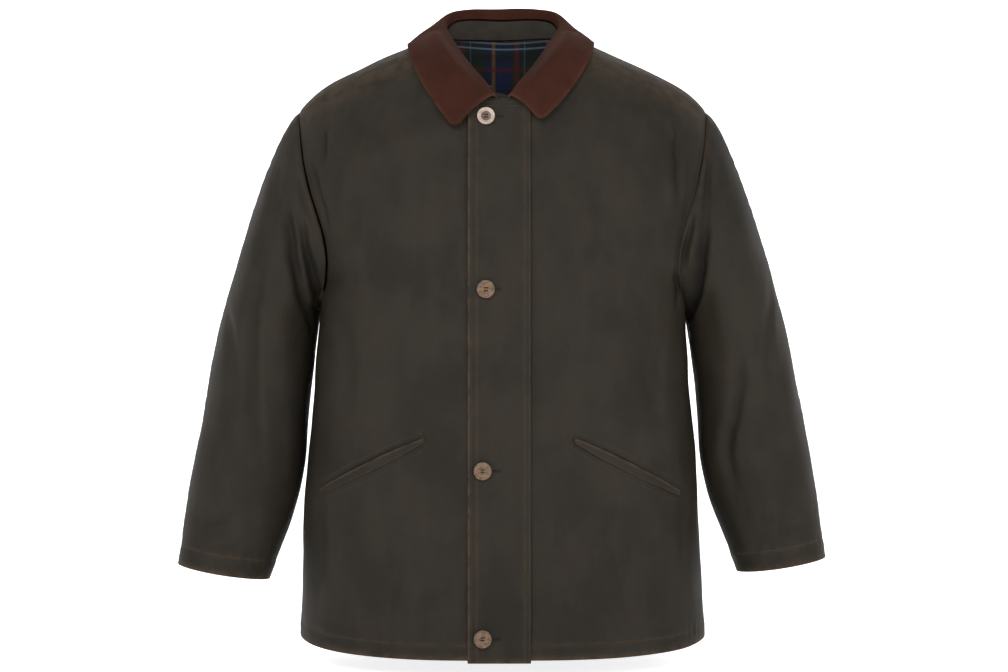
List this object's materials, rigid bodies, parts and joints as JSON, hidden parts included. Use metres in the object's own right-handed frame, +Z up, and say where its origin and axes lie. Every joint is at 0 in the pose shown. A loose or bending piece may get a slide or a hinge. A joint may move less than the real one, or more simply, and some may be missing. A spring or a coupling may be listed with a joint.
{
  "type": "hip-length field coat filled out with no wearer",
  "caption": "Hollow button-front field coat with a corduroy collar, slanted welt pockets and a checked lining at the neck.",
  "frame": {"origin": "middle of the shoulders at the height of the neck seam, where the wearer carries the coat", "axes": "+Z up, the front faces -Y, the wearer's left is +X"},
  "size_m": [0.838, 0.2656, 0.8433],
  "materials": {
    "coated_cloth": "waxed cotton, dull sheen",
    "corduroy": "fine corduroy, matt pile",
    "stand_cloth": "matt cotton",
    "checked_lining": "brushed cotton check",
    "horn_button": "polished horn"
  },
  "bodies": {
    "root": {"front_right": "coated_cloth", "front_left": "coated_cloth", "back": "coated_cloth", "sleeve_right_front": "coated_cloth", "sleeve_right_back": "coated_cloth", "sleeve_left_front": "coated_cloth", "sleeve_left_back": "coated_cloth", "placket": "coated_cloth", "pocket_welt_right": "coated_cloth", "pocket_welt_left": "coated_cloth", "collar": "corduroy", "collar_stand": "stand_cloth", "back_lining": "checked_lining", "button_1": "horn_button", "button_2": "horn_button", "button_3": "horn_button", "button_4": "horn_button"}
  },
  "joints": []
}
